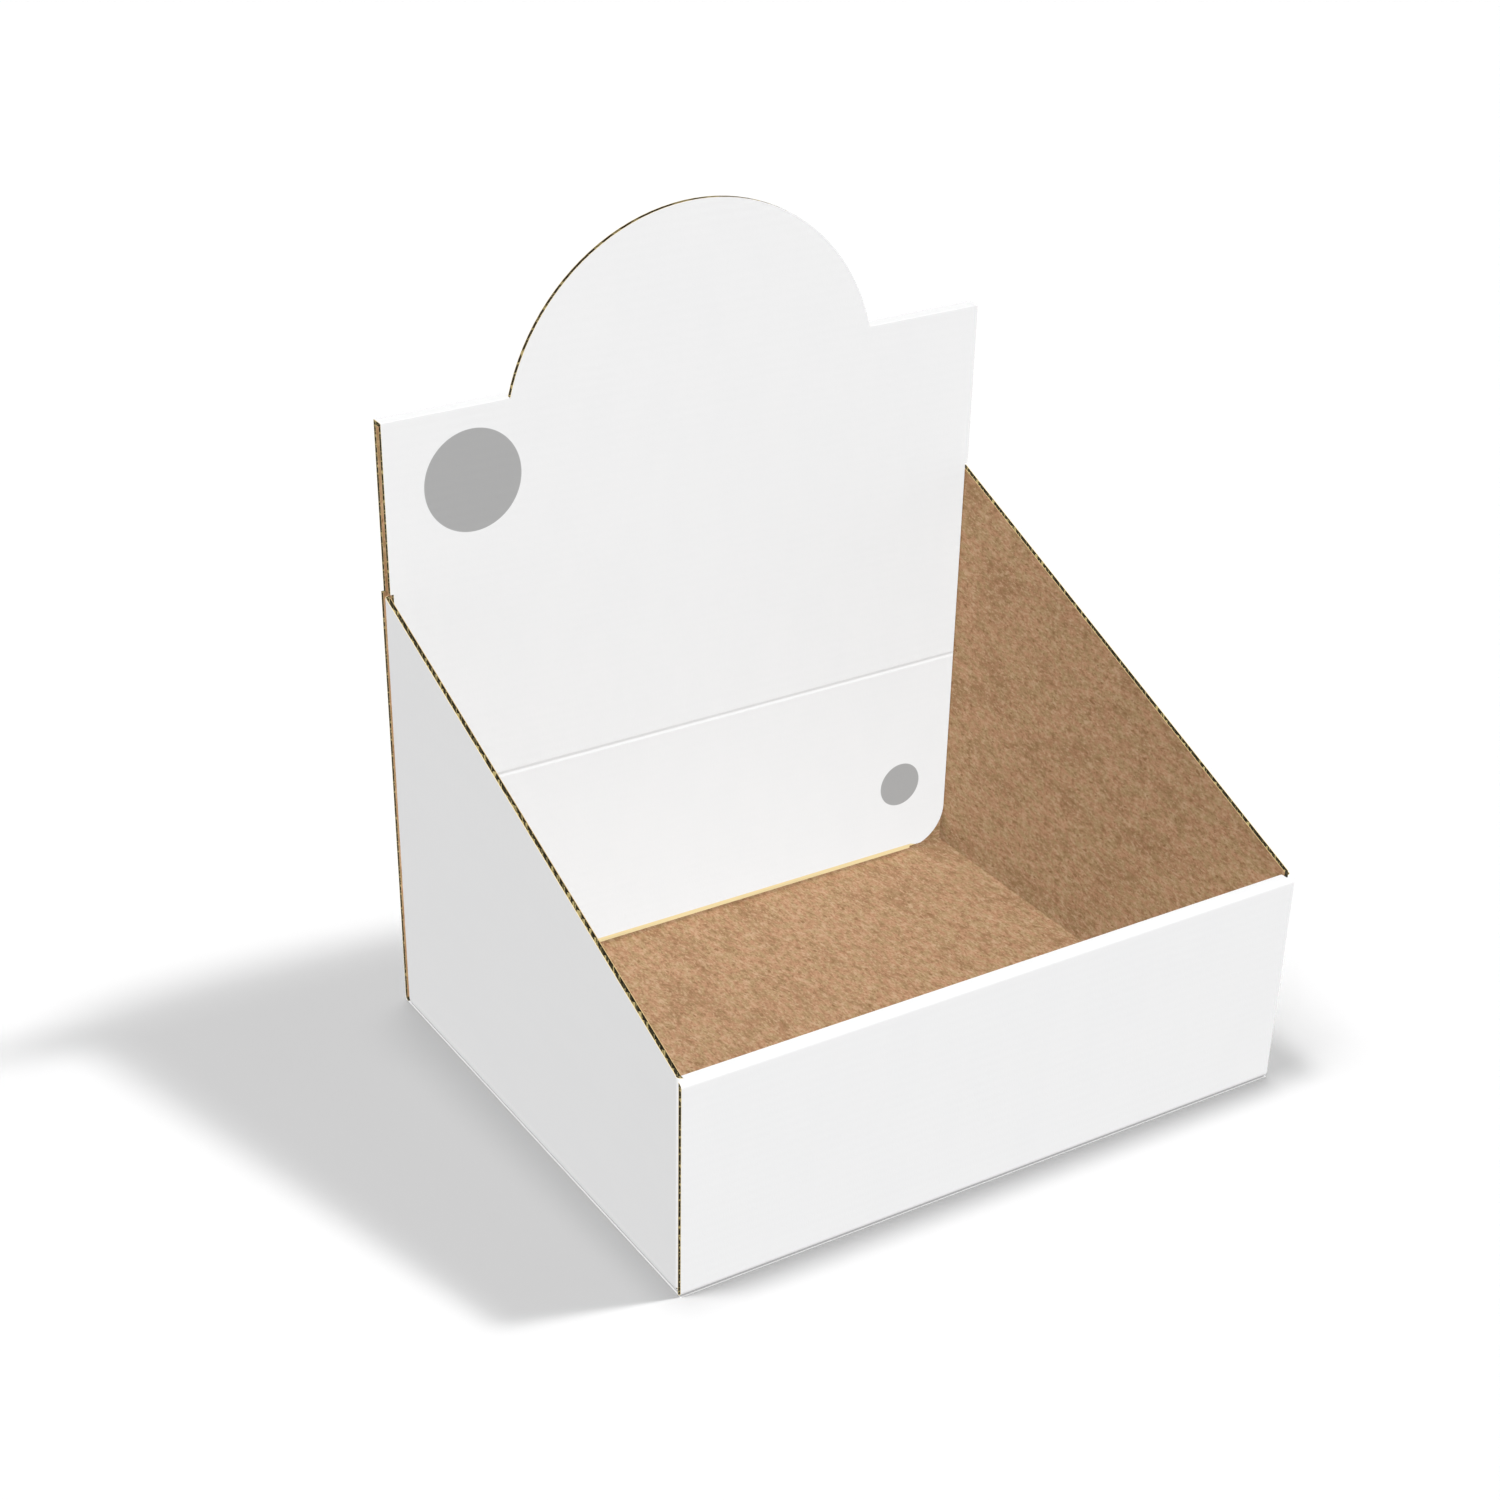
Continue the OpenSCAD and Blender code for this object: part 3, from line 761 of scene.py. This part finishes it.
def flatCells(panel):   # the strips' corners: place, direction of the white face, way along the wave
    row = panelTable[panel]
    thin, run, travel = row["thin"], row["flutes"], travelAxis(panel)
    edges = plateOutline(f"{panel}_inner_liner", thin)
    along = 0 if travel < run else 1
    marks = sorted({point[along] for edge in edges for point in edge})
    step = board["pitch"] / board["stationsPerFlute"]
    stations = set(marks)
    stations.update(k * step for k in range(math.ceil(marks[0] / step), math.ceil(marks[-1] / step)))
    stations = sorted(stations)
    low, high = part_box(f"{panel}_inner_liner")
    kraftFace = low[thin] if row["white"] > 0 else high[thin]
    middle = kraftFace + row["white"] * board["thickness"] / 2
    outward = axisVector(thin, row["white"])
    cells = []
    for s0, s1 in zip(stations, stations[1:]):
        if s1 - s0 < 2 * tiny:
            continue
        for (a0, b0), (a1, b1) in zip(spansAt(edges, s0 + tiny, along), spansAt(edges, s1 - tiny, along)):
            corners = []
            for s, t in ((s0, a0), (s0, b0), (s1, b1), (s1, a1)):
                point = [0.0, 0.0, 0.0]
                point[thin], point[travel], point[run] = middle, s, t
                corners.append((tuple(point), outward, s))
            cells.append(corners)
    return cells


def addCrushedCore(mesh, crease):   # in a crease the medium is pressed into a solid core; the core also fills the crease's hollow with the medium's near-black, as painted shade
    run, steps = crease["flutes"], board["coreSteps"]
    first, second = [a for a in range(3) if a != run]
    inner, outer = board["liner"], board["thickness"] - board["liner"]
    work = bmesh.new()
    work.from_mesh(mesh)
    rows = []
    for i in range(steps + 1):
        angle = math.radians(crease["from"] + (crease["to"] - crease["from"]) * i / steps)
        row = []
        for radius, end in ((inner, 0), (inner, 1), (outer, 1), (outer, 0)):
            point = [0.0, 0.0, 0.0]
            point[first] = crease["centre"][0] + radius * math.cos(angle)
            point[second] = crease["centre"][1] + radius * math.sin(angle)
            point[run] = crease["span"][end]
            row.append(work.verts.new(point))
        rows.append(row)
    faces = [work.faces.new(rows[0]), work.faces.new(rows[-1])]
    for a, b in zip(rows, rows[1:]):
        faces += [work.faces.new((a[k], a[(k + 1) % 4], b[(k + 1) % 4], b[k])) for k in range(4)]
    bmesh.ops.recalc_face_normals(work, faces=faces)
    for face in faces:
        face.material_index = len(mesh.materials) - 1
    work.to_mesh(mesh)
    work.free()


panelBody = {"header_back": "header_back", "lid_panel": "lid", "tuck_flap": "tuck_flap"}


def layMedium(panel, creases):
    name, replaced = f"{panel}_medium", f"{panel}_fluting"
    corners = [corner for cell in flatCells(panel) for corner in cell]
    mesh = bpy.data.meshes.new(name)
    cells = [tuple(range(i, i + 4)) for i in range(0, len(corners), 4)]
    mesh.from_pydata([c[0] for c in corners], [], cells)
    outward = mesh.attributes.new("outward", "FLOAT_VECTOR", "POINT")
    outward.data.foreach_set("vector", [x for c in corners for x in c[1]])
    alongBoard = mesh.attributes.new("alongBoard", "FLOAT", "POINT")
    alongBoard.data.foreach_set("value", [c[2] for c in corners])
    turnFacesOut(mesh, weld=tiny)
    sheet = newObject(name, mesh)
    modifier = sheet.modifiers.new("flutes", "NODES")
    modifier.node_group = flutedTree
    sockets = flutedTree.interface.items_tree
    inputs = {item.name: item.identifier for item in sockets if item.in_out == "INPUT"}
    modifier[inputs["Pitch"]] = board["pitch"]
    modifier[inputs["Wave Height"]] = (board["thickness"] - 2 * board["liner"] - board["mediumPaper"]) / 2
    modifier[inputs["Paper Thickness"]] = board["mediumPaper"]
    modifier[inputs["Paper"]] = mediumPapers[panelTable[panel]["flutes"]]
    modifier[inputs["Lowest"]], modifier[inputs["Highest"]] = (list(p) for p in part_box(replaced))
    final = bpy.data.meshes.new_from_object(sheet.evaluated_get(bpy.context.evaluated_depsgraph_get()))
    sheet.modifiers.remove(modifier)
    sheet.data = final
    final.name = name
    for crease in creases:
        addCrushedCore(final, crease)
    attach(sheet, panelBody.get(panel, "tray"))
    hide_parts(replaced)


def arc(flutes, centre, turnFrom, turnTo, span):
    return {"flutes": flutes, "centre": centre, "from": turnFrom, "to": turnTo, "span": span}


halfWidth = cadBounds[1][0]
thick = board["thickness"]
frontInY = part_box("rim_strip_inner_liner")[0][1]
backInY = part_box("back_wall_inner_liner")[0][1]
sideLow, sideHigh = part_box("right_wall_inner_liner")
sideY = (sideLow[1], sideHigh[1])
sidePoints = [v.co for v in cadNodes["right_wall_fluting"].data.vertices]
creaseTips = {   # how high the side walls' upright creases go
    "front": max(p.z for p in sidePoints if p.y < sideY[0] - 10 * tiny),
    "rear": max(p.z for p in sidePoints if p.y > sideY[1] + 10 * tiny),
}
footEase = 0.0004   # how far the side walls' lower creases stop short at each end
pressedCreases = {
    "base": [],
    "front_wall": [arc(0, (frontInY, thick), 270, 180, (-halfWidth, halfWidth))],
    "back_wall": [arc(0, (backInY, thick), -90, 0, (-halfWidth, halfWidth))],
    "front_inner_wall": [],
}
for side, sign, flat, down in (("left", -1, 180, 270), ("right", 1, 0, -90)):
    x = sign * sideLow[0]
    pressedCreases[f"{side}_wall"] = [
        arc(2, (x, sideY[0]), flat, down, (thick, creaseTips["front"])),
        arc(2, (x, sideY[1]), flat, 90, (thick, creaseTips["rear"])),
        arc(1, (x, thick), flat, down, (sideY[0] + footEase, sideY[1] - footEase)),
    ]
    for end in ("front", "rear"):
        pressedCreases[f"{side}_{end}_flap"] = []
for panel in panelBody:
    pressedCreases[panel] = []

for panel, creases in pressedCreases.items():
    layMedium(panel, creases)

# The narrow strips are pressed flat all over, so their cores stay as they are, in the medium's near-black
# painted shade
for panel in ("rim_strip", "left_shoulder_strip", "right_shoulder_strip"):
    dressNode(f"{panel}_fluting", mediumPapers[0])
print("corrugated medium laid:", len(pressedCreases), "pieces")

# Creases at the header's and the tuck flap's fold lines: white skin, crushed core and kraft skin in one bar
creaseSetup = {
    "header_crease": {"bodies": ("tray", "header_back"), "y": (0.1238, 0.126), "z": (0.20765, 0.20795),
                      "half": 0.1510, "white": 1},
    "tuck_crease": {"bodies": ("lid", "tuck_flap"), "y": (0.1191, 0.1213), "z": (0.10865, 0.10835),
                    "half": 0.1495, "white": -1},
}


def skinMaterial(name, kind):
    look = paperLooks[kind]
    material, tree, shader = newMaterial(name)
    place = tree.nodes.new("ShaderNodeTexCoord").outputs["Object"]
    paper = layPaper(tree, kind, place, (1, 1, look["grainAlong"]))
    plug(tree, paper["Color"], shader.inputs["Base Color"])
    plug(tree, paper["Roughness"], shader.inputs["Roughness"])
    plug(tree, bumpNode(tree, paper["Height"], look["toothDepth"]), shader.inputs["Normal"])
    return material


whiteSkin = skinMaterial("creaseWhite", "white")
kraftSkin = skinMaterial("creaseKraft", "kraft")


def makeCrease(name, setup):
    (y0, y1), (z0, z1), half = setup["y"], setup["z"], setup["half"]
    steps, liner = board["bendSteps"], board["liner"]
    white, kraft, core = 0, 1, 2   # the bar's papers
    levels = (y0, y0 + liner, y1 - liner, y1)
    count = 2 * len(levels)
    points, faces, papers = [], [], []
    for i in range(steps + 1):
        z = z0 + (z1 - z0) * i / steps
        for y in levels:
            points += [(-half, y, z), (half, y, z)]
    for a in range(0, steps * count, count):
        b = a + count
        faces += [(a, a + 1, b + 1, b), (a + count - 2, b + count - 2, b + count - 1, a + count - 1)]
        papers += [kraft, white] if setup["white"] > 0 else [white, kraft]
        for k in range(0, count - 2, 2):
            c, d = a + k, b + k
            faces += [(c, d, d + 2, c + 2), (c + 1, c + 3, d + 3, d + 1)]
            papers += [core, core]
    for a in (0, steps * count):
        for k in range(a, a + count - 2, 2):
            faces.append((k, k + 2, k + 3, k + 1))
            papers.append(core)
    mesh = bpy.data.meshes.new(name)
    mesh.from_pydata(points, [], faces)
    # the core takes the medium's near-black, as painted shade for the crease's hollow
    for paper in (whiteSkin, kraftSkin, mediumPapers[0]):
        mesh.materials.append(paper)
    mesh.polygons.foreach_set("material_index", papers)
    turnFacesOut(mesh)
    bar = newObject(name, mesh)
    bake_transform(bar)


for name, setup in creaseSetup.items():
    makeCrease(name, setup)
print("bending creases made:", len(creaseSetup))


def makeBar(name, outline, low, high, paper, axis=0):   # a bar with one outline all along the given axis
    n = len(outline)
    points = []
    for end in (low, high):
        for first, second in outline:
            point = [first, second]
            point.insert(axis, end)
            points.append(point)
    faces = [tuple(range(n)), tuple(range(n, 2 * n))]
    faces += [(i, (i + 1) % n, n + (i + 1) % n, n + i) for i in range(n)]
    mesh = bpy.data.meshes.new(name)
    mesh.from_pydata(points, [], faces)
    mesh.materials.append(paper)
    turnFacesOut(mesh)
    return newObject(name, mesh)


def bareMaterial():
    material, tree, shader = newMaterial("bareEdgePaper")
    place = tree.nodes.new("ShaderNodeTexCoord").outputs["Object"]
    shade = tuple(bareStrip["shade"] * c for c in bareStrip["colour"][:3]) + (1,)
    paper = useGroup(tree, groups["white"], Vector=place, Stretch=(bareStrip["grainAlong"], 1, 1),
                     Paper=bareStrip["colour"], Shade=shade)
    plug(tree, paper["Color"], shader.inputs["Base Color"])
    plug(tree, paper["Roughness"], shader.inputs["Roughness"])
    return material


# The bare lower edge of the tuck flap, in the plane of its white liner
linerLow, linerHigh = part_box("tuck_flap_outer_liner")
halfStraight = linerHigh[0] - bareStrip["cornerRadius"]
edgeOutline = [(linerLow[1], tipZ), (linerHigh[1], tipZ),
               (linerHigh[1], linerLow[2]), (linerLow[1], linerLow[2])]
bareEdge = makeBar("tuck_bare_edge", edgeOutline, -halfStraight, halfStraight, bareMaterial())
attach(bareEdge, "tuck_flap")

riser = {   # the round cut, as in the blank
    "radius": 0.094,
    "half": 0.09102,
    "foldY": 0.1191,
    "kerf": 0.00005,
}
topFold = {
    "mitre": 0.3,        # how far up the slit the fold stands off its face
    "edgeEase": 0.00004,
    "ease": 0.0001,      # between the strip's end and the layers in front of it and behind it
    "curveSteps": 6,
}


def riserCut(y):   # how far from the middle the knife's line runs, on the strip between the two top folds
    drop = math.sqrt(riser["radius"] ** 2 - riser["half"] ** 2)
    return math.sqrt(riser["radius"] ** 2 - (drop + y - riser["foldY"]) ** 2) + riser["kerf"]


# White paper that closes the header's two top folds, in the mitred slits between the liners
for side, sign in (("left", -1), ("right", 1)):
    stripLow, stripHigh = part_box(f"{side}_shoulder_strip_outer_liner")
    top, liner = stripHigh[2], board["liner"]
    inner, outer = sorted((abs(stripLow[0]), abs(stripHigh[0])))
    folds = {"front": (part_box("lid_panel_outer_liner")[0][1], 1, stripLow[1], inner, "lid"),
             "rear": (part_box("header_back_outer_liner")[1][1], -1, stripHigh[1], riserCut(stripHigh[1]),
                      "header_back")}
    for place, (face, inward, start, near, body) in folds.items():
        slit = abs(start - face)
        mitre = slit * topFold["mitre"]
        outline = [(face, top - slit), (face + inward * mitre, top - mitre), (start, top),
                   (start + inward * liner, top - liner), (face + inward * liner, top - slit - liner)]
        bead = makeBar(f"{side}_{place}_top_fold", outline, *sorted((sign * near, sign * outer)), whiteSkin)
        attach(bead, body)
    # The strip's inner end follows the knife's line round the riser
    edge, steps = riser["half"] + topFold["edgeEase"], topFold["curveSteps"]
    y0, y1 = stripLow[1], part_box("lid_panel_inner_liner")[1][1] + topFold["ease"]
    y2 = stripHigh[1] - topFold["ease"]
    curve = [(riserCut(y), y) for y in (y1 + (y2 - y1) * i / steps for i in range(steps + 1))]
    outline = [(sign * x, y) for x, y in [(inner, y0), (edge, y0), (edge, y1)] + curve + [(inner, y2)]]
    tip = makeBar(f"{side}_top_end", outline, top - liner, top, whiteSkin, axis=2)
    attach(tip, "shoulder_strips")
print("bare edge and top folds made")

makeLight()
makeFloor()
print("light and floor set")
